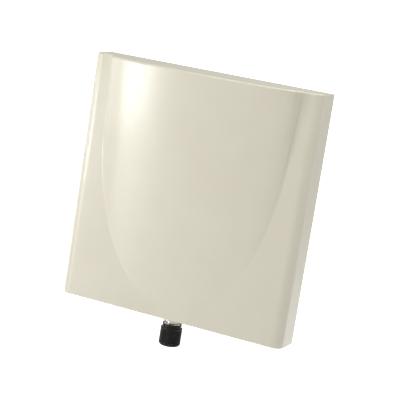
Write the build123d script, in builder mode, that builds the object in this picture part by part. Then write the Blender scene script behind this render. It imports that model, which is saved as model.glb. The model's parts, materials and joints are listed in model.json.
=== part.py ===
from build123d import *
from math import hypot, radians, tan
import os

# Flat panel antenna for a mast or a wall, in millimetres. X points right as seen from the
# front, the front faces -Y, and Z points up. The origin is the centre of the four mounting
# studs, on the rear face of the back plate.

# Radome: the plastic front cover, a deep tray that is open at the back
width = 216.0
height = 220.3
depth = 31.4                 # from the rear plane to the flat part of the front
corner_radius = 8.8          # the two upright front corners
front_wall = 3.0
side_wall = 4.2
rim_wall = 1.7               # thin rim that surrounds the back plate
edge_radius = 1.5            # top and bottom edges of the front
front_cavity_radius = 6.0

# Hood: a raised arch on the front. Its section stays the same and moves back as it goes down,
# until its crown meets the flat part of the front.
hood_foot = 89.7             # half width where the arch leaves the flat front
hood_shoulder = 87.4         # half width where its short sloping sides end
hood_side = 6.1              # height of those sides
hood_rise = 23.0             # height of the crown at the top edge
hood_length = 211.0          # from the top edge down to where the crown meets the front
hood_root = 2.0              # how far the arch reaches back into the flat front

# Back plate, its seal and the screws that hold it to the radome's posts
plate_thickness = 2.5
seal_thickness = 1.5
edge_gap = 0.3
post_radius = 4.0
post_nose_radius = 3.2
post_inset = 8.0             # from the outer faces to the middle of a post
post_x_middle = 45.0
cover_shank_radius = 1.5
cover_screw_length = 13.0
cover_hole_radius = 1.7
cover_washer_radius = 3.5
cover_washer_thickness = 1.0

# Mounting studs, M6, pressed into the back plate
stud_radius = 3.0
stud_spacing = 75.0
stud_length = 16.0
stud_head_radius = 4.2
stud_head_thickness = 0.8
stud_clinch_radius = 3.4     # ribbed part that the plate's metal grips

# Feed board and its copper power divider
board_size = 172.0
board_thickness = 1.6
board_hole_x = 81.0
copper_thickness = 0.1
trace_width = 3.0
wide_trace_width = 5.0
feed_level = -19.0           # height of the divider's cross bar
divider_x = 34.0             # the two upright arms of the divider
pad_radius = 2.5

# Patches: four square radiators, 0.8 of a 2.45 GHz wavelength apart
patch_size = 54.0
patch_thickness = 1.0
patch_pitch = 98.0
patch_gap = 7.4              # air between board and patch
pin_drop = 19.0              # from a patch's middle down to its feed pin
pin_radius = 1.0
solder_radius = 2.0
solder_height = 0.6
standoff_radius = 4.0
machine_shank_radius = 1.5   # M3
blind_depth = 1.8            # tapped blind holes in the plate
screw_play = 0.1

# Type N jack in the radome's lower wall. Heights are measured from the lower face.
jack_setback = 16.5
thread_radius = 7.85         # 5/8-24
thread_root = 7.25
thread_pitch = 25.4 / 24
mount_barrel_radius = 6.35
mount_hole_radius = 6.45
flange_radius = 9.5
flange_thickness = 2.2
neck_radius = 6.0
neck_end = -5.3
thread_start = -8.4
thread_turns = 9
mouth = -19.4
socket_radius = 4.27
socket_floor = -10.3
insulator_radius = 4.0
insulator_top = 12.0
body_top = 14.0
spigot_top = 19.0
spigot_radius = 2.6
contact_radius = 0.8
contact_tip_radius = 1.5
contact_tip = -15.0
contact_bore_radius = 0.85
contact_bore_floor = -11.0
ring_groove_inner = 7.2
ring_groove_outer = 8.8
ring_groove_depth = 1.1
washer_thickness = 0.9
nut_flat_radius = 8.75
nut_thickness = 3.2

# Screw cap with a loose sealing disc
cap_radius = 9.8
cap_bore_radius = 8.1
cap_lip_radius = 8.7
cap_top = -5.15
cap_lip_end = -8.1
cap_shoulder_end = -8.9
cap_floor = -21.1
cap_bottom = -25.6
cap_corner_radius = 2.5
liner_radius = 7.7
liner_top = -19.6
liner_bottom = -21.0

# Inner cable from the jack to the divider
cable_radius = 1.8
core_radius = 0.45
ferrule_radius = 3.2
ferrule_top = 20.0
cable_end = -26.0
clip_height = -33.0
clip_length = 6.0
clip_wall = 1.0
clip_screw_x = 6.8
clip_shank_radius = 1.25

# Levels that follow from the sizes above
half_width = width / 2
half_height = height / 2
hood_lean = hood_rise / hood_length
ledge_depth = plate_thickness + seal_thickness
board_front = plate_thickness + board_thickness
copper_front = board_front + copper_thickness
patch_rear = board_front + patch_gap
patch_front = patch_rear + patch_thickness
post_x = half_width - post_inset
post_z = half_height - post_inset
cable_level = board_front + cable_radius + 0.3
cover_points = (
    [(x, z) for x in (-post_x, post_x) for z in (-post_z, 0, post_z)]
    + [(x, z) for x in (-post_x_middle, post_x_middle) for z in (-post_z, post_z)]
)
stud_offsets = (-stud_spacing / 2, stud_spacing / 2)
stud_points = [(x, z) for x in stud_offsets for z in stud_offsets]
board_points = [(x, z) for x in (-board_hole_x, board_hole_x) for z in (-board_hole_x, board_hole_x)]
clip_points = [(clip_screw_x, clip_height)]
patch_points = {
    f"patch_{row}_{side}": (x, z)
    for row, z in (("upper", patch_pitch / 2), ("lower", -patch_pitch / 2))
    for side, x in (("left", -patch_pitch / 2), ("right", patch_pitch / 2))
}
patch_centres = list(patch_points.values())
pin_points = [(x, z - pin_drop) for x, z in patch_centres]

# Planes: upright ones that face the front at a depth, and the one that the jack's parts turn in
jack_axis = Axis((0, -jack_setback, 0), (0, 0, 1))
jack_profile = Plane(origin=(0, -jack_setback, -half_height), x_dir=(1, 0, 0), z_dir=(0, -1, 0))


def facing(level):
    """Upright plane that faces the front, level behind which the plate's rear face lies."""
    return Plane.XZ.offset(level)


def around_jack(level):
    """Flat plane across the jack's axis, at a height above the radome's lower face."""
    return Plane(origin=(0, -jack_setback, level - half_height))


def hood_frame(drop):
    """Flat plane of the hood's section, a distance below the top edge."""
    return Plane(origin=(0, hood_lean * drop - depth, half_height - drop))


def hood_section(inset, root):
    """Half ellipse on two short sloping sides, closed behind at the root."""
    foot = hood_foot - inset
    with BuildSketch() as section:
        with BuildLine():
            arch = EllipticalCenterArc(
                (0, -hood_side), hood_shoulder - inset, hood_rise - hood_side - inset, 180, arc_size=180
            )
            Polyline(arch @ 0, (-foot, 0), (-foot, root), (foot, root), (foot, 0), arch @ 1)
        make_face()
    return section.sketch


def front_spots(points, level):
    """Places on an upright plane, where holes sink towards the back."""
    return [Plane(origin=(x, -level, z), z_dir=(0, -1, 0)).location for x, z in points]


def rear_spots(points, level):
    """Places on an upright plane, where holes sink towards the front."""
    return [Plane(origin=(x, -level, z), z_dir=(0, 1, 0)).location for x, z in points]


def pan_screws(points, seat, inward, shank_radius, length):
    """Cross-recess screws with their heads on the seat; inward is 1 towards the front, -1 back."""
    head_radius = shank_radius * 1.95
    head_height = shank_radius * 1.3
    with BuildPart() as screws:
        with BuildSketch(facing(seat)):
            with Locations(*points):
                Circle(head_radius)
        extrude(amount=-inward * head_height)
        crowns = screws.faces().filter_by(Axis.Y).group_by(Axis.Y)[-1 if inward > 0 else 0]
        fillet(crowns.edges(), head_height * 0.45)
        with BuildSketch(facing(seat)):
            with Locations(*points):
                Circle(shank_radius)
        extrude(amount=inward * length)
        with BuildSketch(facing(seat - inward * head_height)):
            with Locations(*points):
                Rectangle(head_radius * 1.1, head_radius * 0.24)
                Rectangle(head_radius * 0.24, head_radius * 1.1)
        extrude(amount=inward * head_height * 0.6, mode=Mode.SUBTRACT)
    return screws


# Radome
hood_outside = hood_section(0, hood_root)
hood_inside = hood_section(front_wall, front_wall + hood_root)
with BuildPart() as hood:
    with BuildSketch(hood_frame(0)):
        add(hood_outside)
    extrude(amount=hypot(1, hood_lean) * (hood_length + hood_root), dir=(0, hood_lean, -1))
    crown_edges = hood.edges().filter_by(Plane.XY).group_by(Axis.Z)[-1].group_by(Axis.Y)[:-1]
    fillet(sum(crown_edges, ShapeList()), edge_radius)

with BuildPart() as radome_outside:
    with BuildSketch(Plane.XY.offset(-half_height)) as block:
        Rectangle(width, depth, align=(Align.CENTER, Align.MAX))
        fillet(block.vertices().group_by(Axis.Y)[0], corner_radius)
    extrude(amount=height)
    level_edges = radome_outside.edges().filter_by(Plane.XY)
    fillet(level_edges.filter_by_position(Axis.Y, -depth, corner_radius - depth), edge_radius)
    add(hood.part)

with BuildPart() as posts:
    with BuildSketch(facing(ledge_depth)):
        with Locations(*cover_points):
            Circle(post_radius)
    extrude(amount=depth + hood_rise)
    with BuildSketch(facing(plate_thickness)):
        with Locations(*cover_points):
            Circle(post_nose_radius)
    extrude(amount=seal_thickness)
    add(radome_outside.part, mode=Mode.INTERSECT)

with BuildPart() as radome:
    add(radome_outside.part)
    with BuildSketch(Plane.XY.offset(side_wall - half_height)) as cavity:
        Rectangle(width - 2 * side_wall, depth - front_wall, align=(Align.CENTER, Align.MAX))
        fillet(cavity.vertices().group_by(Axis.Y)[0], front_cavity_radius)
    extrude(amount=height - 2 * side_wall, mode=Mode.SUBTRACT)
    with BuildSketch(hood_frame(side_wall)):
        add(hood_inside)
    extrude(amount=hypot(1, hood_lean) * (hood_length - 2 * side_wall), dir=(0, hood_lean, -1),
            mode=Mode.SUBTRACT)
    with BuildSketch(facing(0)):
        Rectangle(width - 2 * rim_wall, height - 2 * rim_wall)
    extrude(amount=ledge_depth, mode=Mode.SUBTRACT)
    add(posts.part)
    with Locations(*rear_spots(cover_points, plate_thickness)):
        Hole(cover_shank_radius, cover_screw_length - plate_thickness)
    with BuildSketch(around_jack(0)):
        Circle(mount_hole_radius)
    extrude(amount=side_wall, mode=Mode.SUBTRACT)

# Back plate with its seal, screws and studs
plate_width = width - 2 * rim_wall - 2 * edge_gap
plate_height = height - 2 * rim_wall - 2 * edge_gap
with BuildPart() as back_plate:
    with BuildSketch(facing(0)) as outline:
        Rectangle(plate_width, plate_height)
        fillet(outline.vertices(), 1.0)
    extrude(amount=plate_thickness)
    with Locations(*front_spots(cover_points, plate_thickness)):
        Hole(cover_hole_radius)
    with Locations(*front_spots(stud_points, plate_thickness)):
        CounterBoreHole(stud_clinch_radius, stud_head_radius, stud_head_thickness)
    with Locations(*front_spots(patch_centres + board_points, plate_thickness)):
        Hole(machine_shank_radius, blind_depth)
    with Locations(*front_spots(clip_points, plate_thickness)):
        Hole(clip_shank_radius, blind_depth)

with BuildPart() as rear_gasket:
    with BuildSketch(facing(plate_thickness)):
        Rectangle(plate_width, plate_height)
        Rectangle(width - 2 * side_wall + 0.2, height - 2 * side_wall + 0.2, mode=Mode.SUBTRACT)
    extrude(amount=seal_thickness)

with BuildPart() as cover_screw_seals:
    with BuildSketch(facing(0)):
        with Locations(*cover_points):
            Circle(cover_washer_radius)
            Circle(cover_shank_radius, mode=Mode.SUBTRACT)
    extrude(amount=-cover_washer_thickness)

cover_screws = pan_screws(cover_points, -cover_washer_thickness, 1, cover_shank_radius, cover_screw_length)

with BuildPart() as mounting_studs:
    with BuildSketch(facing(0)):
        with Locations(*stud_points):
            Circle(stud_radius)
    extrude(amount=-stud_length)
    tips = mounting_studs.faces().sort_by(Axis.Y)[-len(stud_points):]
    chamfer(tips.edges(), 0.7)
    with BuildSketch(facing(plate_thickness)):
        with Locations(*stud_points):
            Circle(stud_clinch_radius)
    extrude(amount=-plate_thickness)
    with BuildSketch(facing(plate_thickness)):
        with Locations(*stud_points):
            Circle(stud_head_radius)
    extrude(amount=-stud_head_thickness)

# Feed board, divider and patches
with BuildPart() as feed_board:
    with BuildSketch(facing(plate_thickness)) as board_outline:
        Rectangle(board_size, board_size)
        fillet(board_outline.vertices(), 2.0)
    extrude(amount=board_thickness)
    with Locations(*front_spots(patch_centres + board_points, board_front)):
        Hole(machine_shank_radius + screw_play)
    with Locations(*front_spots(clip_points, board_front)):
        Hole(clip_shank_radius + screw_play)

pin_rows = sorted({z for x, z in pin_points})
arm_length = pin_rows[-1] - pin_rows[0]
stub_length = patch_pitch / 2 - divider_x
with BuildPart() as feed_traces:
    with BuildSketch(facing(board_front)):
        with Locations((0, feed_level)):
            Rectangle(2 * divider_x + trace_width, trace_width)
            Rectangle(divider_x, wide_trace_width)
            Circle(pad_radius)
        for side in (-1, 1):
            with Locations((side * divider_x, feed_level)):
                Rectangle(trace_width, arm_length + trace_width)
                Rectangle(wide_trace_width, arm_length / 3)
            with Locations(*[(side * (divider_x + stub_length / 2), z) for z in pin_rows]):
                Rectangle(stub_length, trace_width)
        with Locations(*pin_points):
            Circle(pad_radius)
    extrude(amount=copper_thickness)

patches = {}
for name, (x, z) in patch_points.items():
    with BuildPart() as patch:
        with BuildSketch(facing(patch_rear)) as blank:
            with Locations((x, z)):
                Rectangle(patch_size, patch_size)
            fillet(blank.vertices(), 1.0)
        extrude(amount=patch_thickness)
        with Locations(*front_spots([(x, z)], patch_front)):
            Hole(machine_shank_radius + screw_play)
        with Locations(*front_spots([(x, z - pin_drop)], patch_front)):
            Hole(pin_radius)
    patches[name] = patch

with BuildPart() as patch_standoffs:
    with BuildSketch(facing(board_front)):
        with Locations(*patch_centres):
            Circle(standoff_radius)
            Circle(machine_shank_radius + screw_play, mode=Mode.SUBTRACT)
    extrude(amount=patch_gap)

with BuildPart() as feed_pins:
    with BuildSketch(facing(copper_front)):
        with Locations(*pin_points):
            Circle(pin_radius)
    extrude(amount=patch_front - copper_front)
    with BuildSketch(facing(patch_front)):
        with Locations(*pin_points):
            Circle(solder_radius)
    extrude(amount=solder_height, taper=35)

patch_screws = pan_screws(patch_centres, patch_front, -1, machine_shank_radius,
                          patch_front - plate_thickness + blind_depth - 0.1)
board_screws = pan_screws(board_points, board_front, -1, machine_shank_radius,
                          board_thickness + blind_depth - 0.1)

# Jack: everything turned about its upright axis
thread_rings = []
for turn in range(thread_turns):
    crest = thread_start - turn * thread_pitch
    thread_rings += [(thread_radius, crest), (thread_root, crest - thread_pitch / 2)]
thread_end = thread_start - thread_turns * thread_pitch

with BuildPart() as jack_body:
    with BuildSketch(jack_profile):
        with BuildLine():
            Polyline(
                (cable_radius, insulator_top), (cable_radius, spigot_top), (spigot_radius, spigot_top),
                (spigot_radius, body_top), (mount_barrel_radius - 0.8, body_top),
                (mount_barrel_radius, body_top - 0.8), (mount_barrel_radius, 0),
                (ring_groove_inner, 0), (ring_groove_inner, -ring_groove_depth),
                (ring_groove_outer, -ring_groove_depth), (ring_groove_outer, 0),
                (flange_radius, 0), (flange_radius, -flange_thickness),
                (neck_radius, -flange_thickness), (neck_radius, neck_end),
                (thread_root, neck_end), (thread_radius, neck_end - 0.6),
                *thread_rings, (thread_radius, thread_end),
                (thread_radius, mouth + 0.6), (thread_root, mouth),
                (socket_radius, mouth), (socket_radius, socket_floor),
                (insulator_radius, socket_floor), (insulator_radius, insulator_top),
                close=True,
            )
        make_face()
    revolve(axis=jack_axis)

with BuildPart() as jack_dielectric:
    with BuildSketch(around_jack(socket_floor)):
        Circle(insulator_radius)
        Circle(contact_radius, mode=Mode.SUBTRACT)
    extrude(amount=insulator_top - socket_floor)

with BuildPart() as jack_contact:
    with BuildSketch(jack_profile):
        with BuildLine():
            Polyline(
                (0, insulator_top), (contact_radius, insulator_top), (contact_radius, socket_floor),
                (contact_tip_radius, socket_floor), (contact_tip_radius, contact_tip),
                (contact_bore_radius, contact_tip), (contact_bore_radius, contact_bore_floor),
                (0, contact_bore_floor), close=True,
            )
        make_face()
    revolve(axis=jack_axis)
    with BuildSketch(around_jack(contact_tip)):
        Rectangle(4 * contact_radius, 0.3)
        Rectangle(0.3, 4 * contact_radius)
    extrude(amount=3.5, mode=Mode.SUBTRACT)

with BuildPart() as jack_o_ring:
    with BuildSketch(jack_profile):
        with Locations(((ring_groove_inner + ring_groove_outer) / 2, -ring_groove_depth / 2)):
            Ellipse(0.78, ring_groove_depth / 2)
    revolve(axis=jack_axis)

with BuildPart() as jack_lock_washer:
    with BuildSketch(around_jack(side_wall)):
        Circle(flange_radius)
        Circle(mount_hole_radius, mode=Mode.SUBTRACT)
        with PolarLocations(flange_radius, 12):
            Rectangle(2.0, 1.6, mode=Mode.SUBTRACT)
    extrude(amount=washer_thickness)

nut_rear = side_wall + washer_thickness
with BuildPart() as jack_nut:
    with BuildSketch(around_jack(nut_rear)):
        RegularPolygon(nut_flat_radius, 6, major_radius=False)
    extrude(amount=nut_thickness)
    chamfer(jack_nut.edges().filter_by(Plane.XY), 0.4)
    with BuildSketch(around_jack(nut_rear)):
        Circle(mount_barrel_radius)
    extrude(amount=nut_thickness, mode=Mode.SUBTRACT)

# Screw cap and the sealing disc in it
with BuildPart() as cap:
    with BuildSketch(jack_profile):
        with BuildLine():
            corner = (cap_radius - cap_corner_radius, cap_bottom + cap_corner_radius)
            side = Polyline(
                (0, cap_floor), (cap_bore_radius, cap_floor), (cap_bore_radius, cap_top),
                (cap_lip_radius, cap_top), (cap_lip_radius, cap_lip_end),
                (cap_radius, cap_shoulder_end), (cap_radius, corner[1]),
            )
            RadiusArc(side @ 1, (corner[0], cap_bottom), cap_corner_radius)
            Polyline((corner[0], cap_bottom), (0, cap_bottom), (0, cap_floor))
        make_face()
    revolve(axis=jack_axis)

with BuildPart() as cap_liner:
    with BuildSketch(around_jack(liner_bottom)):
        Circle(liner_radius)
    extrude(amount=liner_top - liner_bottom)
    chamfer(cap_liner.edges(), 0.2)

# Inner cable: out of the jack's spigot, across to the board and up to the divider
cable_route = [
    Vector(0, -jack_setback, insulator_top - half_height),
    Vector(0, -jack_setback, -72),
    Vector(0, -cable_level, -50),
    Vector(0, -cable_level, cable_end),
]


def bend_radii(route):
    """Radius at each corner of a route: as large as the two runs beside it allow."""
    radii = []
    for before, corner, after in zip(route, route[1:], route[2:]):
        turn = radians((corner - before).get_angle(after - corner))
        shorter = min((corner - before).length, (after - corner).length)
        radii.append(0.45 * shorter / tan(turn / 2))
    return radii


cable_radii = bend_radii(cable_route)
print("cable bend radii:", [round(radius, 1) for radius in cable_radii])
with BuildPart() as coax_cable:
    with BuildLine():
        cable_line = FilletPolyline(*cable_route, radius=cable_radii)
    with BuildSketch(Plane(origin=cable_line @ 0, z_dir=cable_line % 0)):
        Circle(cable_radius)
    sweep()

with BuildPart() as coax_core:
    with BuildLine():
        core_line = FilletPolyline(
            (0, -cable_level, cable_end), (0, -cable_level, feed_level), (0, -copper_front, feed_level),
            radius=1.2,
        )
    with BuildSketch(Plane(origin=core_line @ 0, z_dir=core_line % 0)):
        Circle(core_radius)
    sweep()

with BuildPart() as coax_ferrule:
    with BuildSketch(around_jack(body_top)):
        Circle(ferrule_radius)
        Circle(spigot_radius, mode=Mode.SUBTRACT)
    extrude(amount=spigot_top - body_top)
    with BuildSketch(around_jack(spigot_top)):
        Circle(ferrule_radius)
        Circle(cable_radius, mode=Mode.SUBTRACT)
    extrude(amount=ferrule_top - spigot_top)

saddle_radius = cable_radius + clip_wall
with BuildPart() as coax_clip:
    with BuildSketch(Plane(origin=(0, -board_front, clip_height - clip_length / 2))):
        with Locations((0, board_front - cable_level)):
            Circle(saddle_radius)
        Rectangle(2 * saddle_radius, cable_level - board_front, align=(Align.CENTER, Align.MAX))
        Rectangle(clip_screw_x + 3.2, clip_wall, align=(Align.MIN, Align.MAX))
        with Locations((0, board_front - cable_level)):
            Circle(cable_radius, mode=Mode.SUBTRACT)
        Rectangle(2 * saddle_radius, clip_wall, align=(Align.CENTER, Align.MIN), mode=Mode.SUBTRACT)
    extrude(amount=clip_length)
    with Locations(*front_spots(clip_points, board_front + clip_wall)):
        Hole(clip_shank_radius + screw_play)

coax_clip_screw = pan_screws(clip_points, board_front + clip_wall, -1,
                             clip_shank_radius, clip_wall + board_thickness + blind_depth - 0.1)

pieces = {
    "radome": radome,
    "back_plate": back_plate,
    "rear_gasket": rear_gasket,
    "cover_screws": cover_screws,
    "cover_screw_seals": cover_screw_seals,
    "mounting_studs": mounting_studs,
    "feed_board": feed_board,
    "feed_traces": feed_traces,
    "board_screws": board_screws,
    **patches,
    "patch_standoffs": patch_standoffs,
    "patch_screws": patch_screws,
    "feed_pins": feed_pins,
    "coax_cable": coax_cable,
    "coax_core": coax_core,
    "coax_ferrule": coax_ferrule,
    "coax_clip": coax_clip,
    "coax_clip_screw": coax_clip_screw,
    "jack_body": jack_body,
    "jack_dielectric": jack_dielectric,
    "jack_contact": jack_contact,
    "jack_o_ring": jack_o_ring,
    "jack_lock_washer": jack_lock_washer,
    "jack_nut": jack_nut,
    "cap": cap,
    "cap_liner": cap_liner,
}

os.makedirs("parts", exist_ok=True)
for name, piece in pieces.items():
    piece.part.label = name
    export_step(piece.part, f"parts/{name}.step")
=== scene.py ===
import json
import math

import bmesh
import bpy
from mathutils import Matrix, Vector

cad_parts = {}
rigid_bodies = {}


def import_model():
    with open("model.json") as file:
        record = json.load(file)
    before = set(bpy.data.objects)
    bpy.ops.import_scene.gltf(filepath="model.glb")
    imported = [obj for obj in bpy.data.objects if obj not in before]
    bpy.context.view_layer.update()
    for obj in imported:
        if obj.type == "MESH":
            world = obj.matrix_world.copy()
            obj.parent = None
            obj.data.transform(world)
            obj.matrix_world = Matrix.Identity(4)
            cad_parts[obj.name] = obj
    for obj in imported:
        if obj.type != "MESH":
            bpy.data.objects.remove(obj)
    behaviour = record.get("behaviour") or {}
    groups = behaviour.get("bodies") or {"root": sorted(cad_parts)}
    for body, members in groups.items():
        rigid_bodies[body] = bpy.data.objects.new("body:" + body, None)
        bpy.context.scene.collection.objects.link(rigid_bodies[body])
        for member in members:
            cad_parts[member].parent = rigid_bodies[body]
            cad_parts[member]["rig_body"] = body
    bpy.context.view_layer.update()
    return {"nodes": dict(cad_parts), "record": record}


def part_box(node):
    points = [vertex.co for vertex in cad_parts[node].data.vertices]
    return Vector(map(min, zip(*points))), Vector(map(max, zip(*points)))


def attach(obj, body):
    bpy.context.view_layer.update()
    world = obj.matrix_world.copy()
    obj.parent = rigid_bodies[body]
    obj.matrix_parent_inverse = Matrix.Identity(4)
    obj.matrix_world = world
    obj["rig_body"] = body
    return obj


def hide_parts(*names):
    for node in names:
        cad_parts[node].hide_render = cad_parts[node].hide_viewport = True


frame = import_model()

scene = bpy.context.scene
MM = 0.001

# Camera, at the photograph's viewing angle
CAMERA_AZIMUTH = math.radians(23.05)
CAMERA_ELEVATION = math.radians(9.51)
CAMERA_ROLL = math.radians(9.01)
CAMERA_DISTANCE = 1.2615
CAMERA_LENS = 127.95
LOOK_AT = Vector((0.0009, -0.0004, -0.0043))

# Studio, in metres: a white sweep that glows behind the object, and soft lamps round it
FLOOR_DROP = 0.42                 # from the origin down to the floor
FLOOR_SIZE = 40.0
FLOOR_GLOW_NEAR = 0.15            # in front of the object and far to its right
FLOOR_GLOW_FAR = 1.05             # behind the object
FLOOR_GLOW_BEHIND = (0.1, 0.5)    # Y between which the glow grows
FLOOR_GLOW_RIGHT = (0.2, 0.9)     # X between which it fades again
FLOOR_SEEN = 0.6                  # the least glow that the camera sees
FRONT_WORLD = 0.03
REAR_WORLD = 0.22
REAR_WORLD_START = (-0.15, 0.15)  # Y of a direction between which the front level gives way to the rear one
ZENITH_SHARE = 4.0                # overhead, times the level beside it
ZENITH_START = (0.4, 0.8)         # Z of a direction between which that share grows

# Each lamp: azimuth and elevation in degrees, distance, width and height in metres, power in watts
LAMPS = {
    "front": (-11, 42, 1.2, 0.85, 0.38, 6.6),
    "right": (78, 42, 1.2, 0.38, 0.38, 5.1),
    "left_low": (-44, -12, 1.2, 0.38, 0.38, 1.2),
    "left_near": (-46.5, -2.5, 0.51, 0.14, 0.09, 0.31),
    "left_strip": (-62, 2, 0.6, 0.50, 0.20, 0.58),
    "rear": (175, 60, 1.6, 0.80, 0.80, 11.5),
}

# Radome, in millimetres; its width, height and place come from the frame
DEPTH = 31.4
CORNER_RADIUS = 8.8
FRONT_WALL = 3.0
SIDE_WALL = 4.2
RIM_WALL = 1.7
LEDGE_DEPTH = 4.0
CAVITY_RADIUS = 6.0
FRONT_EDGE_RADIUS = 1.5
SIDE_EDGE_RADIUS = 0.6
REAR_EDGE_RADIUS = 0.4
CREASE_RADIUS = 1.6
CREASE_BAND = 1.2                 # to either side of the crease, where rows run along it
CREASE_CLEARANCE = 5.0            # the least distance from that band's middle to the top or bottom
HOOD_FOOT = 89.7
HOOD_SHOULDER = 87.4
HOOD_SIDE = 6.1
HOOD_RISE = 23.0
HOOD_LENGTH = 211.0
HOOD_LEAN = HOOD_RISE / HOOD_LENGTH
POST_RADIUS = 4.0
POST_NOSE_RADIUS = 3.2
POST_BORE_RADIUS = 1.5
POST_COVER = 1.2                  # from a post's end to the outside of the hood or front
CORNER_POST_COVER = 2.0
JACK_HOLE_RADIUS = 6.45

# Jack and cap, in millimetres; heights are from the radome's lower face
JACK_THREAD_PITCH = 25.4 / 24
JACK_THREAD_CREST = 7.85
JACK_THREAD_ROOT = 7.25
JACK_THREAD = (-18.8, -5.9)
JACK_SOCKET_RADIUS = 4.27
JACK_SOCKET_FLOOR = -10.3
JACK_END = -19.4
CONTACT_RADIUS = 1.5
CONTACT_BORE_RADIUS = 0.85
CONTACT_END = -15.0
CAP_BORE_RADIUS = 8.1
CAP_FLOOR = -21.1
CAP_THREAD = (-19.6, -9.6)
CAP_THREAD_DEPTH = 0.45
CAP_LIP_STEP = 1.1
CAP_LIP_END = -8.1
CAP_SHOULDER_END = -8.9
CAP_END_ROUND = 2.5
KNURL_DEPTH = 0.6
KNURL_COUNT = 24
KNURL_HEIGHT = 2.9

# Back plate, studs and cover screws, in millimetres
PLATE_CORNER_RADIUS = 1.0
PLATE_EDGE = 0.3
SCREW_HOLE_RADIUS = 1.7
SCREW_HEAD_RADIUS = 2.925
SCREW_HEAD_HEIGHT = 1.95
STUD_RADIUS = 3.0
STUD_THREAD_ROOT = 2.42
STUD_THREAD_PITCH = 1.0
STUD_HEAD_RADIUS = 4.2
STUD_HEAD_HEIGHT = 0.8
STUD_SHOULDER_RADIUS = 3.4
WASHER_BORE_RADIUS = 1.5


# ---------------------------------------------------------------- camera, light and floor

def from_origin(azimuth, elevation, distance):
    """Point round the origin; azimuth 0 is in front, and positive is to the right."""
    return Vector((
        math.sin(azimuth) * math.cos(elevation),
        -math.cos(azimuth) * math.cos(elevation),
        math.sin(elevation),
    )) * distance


def add_camera():
    back = from_origin(CAMERA_AZIMUTH, CAMERA_ELEVATION, 1.0)
    camera = bpy.data.objects.new("camera", bpy.data.cameras.new("camera"))
    scene.collection.objects.link(camera)
    upright = (-back).to_track_quat("-Z", "Y").to_matrix().to_4x4()
    roll = Matrix.Rotation(CAMERA_ROLL, 4, back)
    camera.matrix_world = Matrix.Translation(LOOK_AT + back * CAMERA_DISTANCE) @ roll @ upright
    camera.data.lens = CAMERA_LENS
    scene.camera = camera


def add_lamp(name, azimuth, elevation, distance, width, height, power):
    """A softbox that points at the origin."""
    light = bpy.data.lights.new(name, "AREA")
    light.shape = "RECTANGLE"
    light.size = width
    light.size_y = height
    light.energy = power
    lamp = bpy.data.objects.new(name, light)
    scene.collection.objects.link(lamp)
    place = from_origin(math.radians(azimuth), math.radians(elevation), distance)
    lamp.location = place
    lamp.rotation_euler = (-place).to_track_quat("-Z", "Y").to_euler()


def ranged(tree, value, limits, results):
    """Value brought from the limits to the results, smoothly."""
    node = tree.nodes.new("ShaderNodeMapRange")
    node.interpolation_type = "SMOOTHSTEP"
    numbers = (*limits, *results)
    for socket, number in zip(("From Min", "From Max", "To Min", "To Max"), numbers):
        node.inputs[socket].default_value = number
    tree.links.new(value, node.inputs["Value"])
    return node.outputs["Result"]


def calculated(tree, operation, first, second):
    """Two values put through one operation."""
    node = tree.nodes.new("ShaderNodeMath")
    node.operation = operation
    tree.links.new(first, node.inputs[0])
    tree.links.new(second, node.inputs[1])
    return node.outputs["Value"]


def add_world():
    """White wherever the camera sees it; as a light, dim in front and brighter behind and overhead."""
    world = bpy.data.worlds.new("studio")
    scene.world = world
    world.use_nodes = True
    tree = world.node_tree
    split = tree.nodes.new("ShaderNodeSeparateXYZ")
    tree.links.new(tree.nodes.new("ShaderNodeTexCoord").outputs["Generated"], split.inputs[0])
    behind = ranged(tree, split.outputs["Y"], REAR_WORLD_START, (FRONT_WORLD, REAR_WORLD))
    above = ranged(tree, split.outputs["Z"], ZENITH_START, (1, ZENITH_SHARE))
    camera_ray = tree.nodes.new("ShaderNodeLightPath").outputs["Is Camera Ray"]
    seen = tree.nodes.new("ShaderNodeMix")
    tree.links.new(camera_ray, seen.inputs["Factor"])
    tree.links.new(calculated(tree, "MULTIPLY", behind, above), seen.inputs["A"])
    seen.inputs["B"].default_value = 1
    tree.links.new(seen.outputs["Result"], tree.nodes["Background"].inputs["Strength"])
    tree.nodes["Background"].inputs["Color"].default_value = (1, 1, 1, 1)


def add_floor():
    """Pale paper. Its glow lights the object from behind; the camera sees the rest nearly as bright."""
    mesh = bpy.data.meshes.new("floor")
    half = FLOOR_SIZE / 2
    corners = ((-half, -half), (half, -half), (half, half), (-half, half))
    mesh.from_pydata([(x, y, -FLOOR_DROP) for x, y in corners], [], [(0, 1, 2, 3)])
    floor = bpy.data.objects.new("floor", mesh)
    scene.collection.objects.link(floor)
    paper = Surface("paper", 0.6, Emission_Color=(1, 1, 1, 1))
    paper.colour((0.90, 0.90, 0.90), (0.88, 0.88, 0.88), paper.noise(0.02, 3))
    paper.bump(paper.noise(0.5, 2), 0.02)
    split = paper.nodes.new("ShaderNodeSeparateXYZ")
    paper.links.new(paper.place, split.inputs[0])
    tree = paper.material.node_tree
    behind = ranged(tree, split.outputs["Y"], FLOOR_GLOW_BEHIND, (FLOOR_GLOW_NEAR, FLOOR_GLOW_FAR))
    beside = ranged(tree, split.outputs["X"], FLOOR_GLOW_RIGHT, (1, FLOOR_GLOW_NEAR))
    camera_ray = paper.nodes.new("ShaderNodeLightPath").outputs["Is Camera Ray"]
    seen = ranged(tree, camera_ray, (0, 1), (0, FLOOR_SEEN))
    strength = calculated(tree, "MAXIMUM", paper.product(behind, beside), seen)
    paper.links.new(strength, paper.shader.inputs["Emission Strength"])
    mesh.materials.append(paper.material)


# ---------------------------------------------------------------- materials

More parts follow.
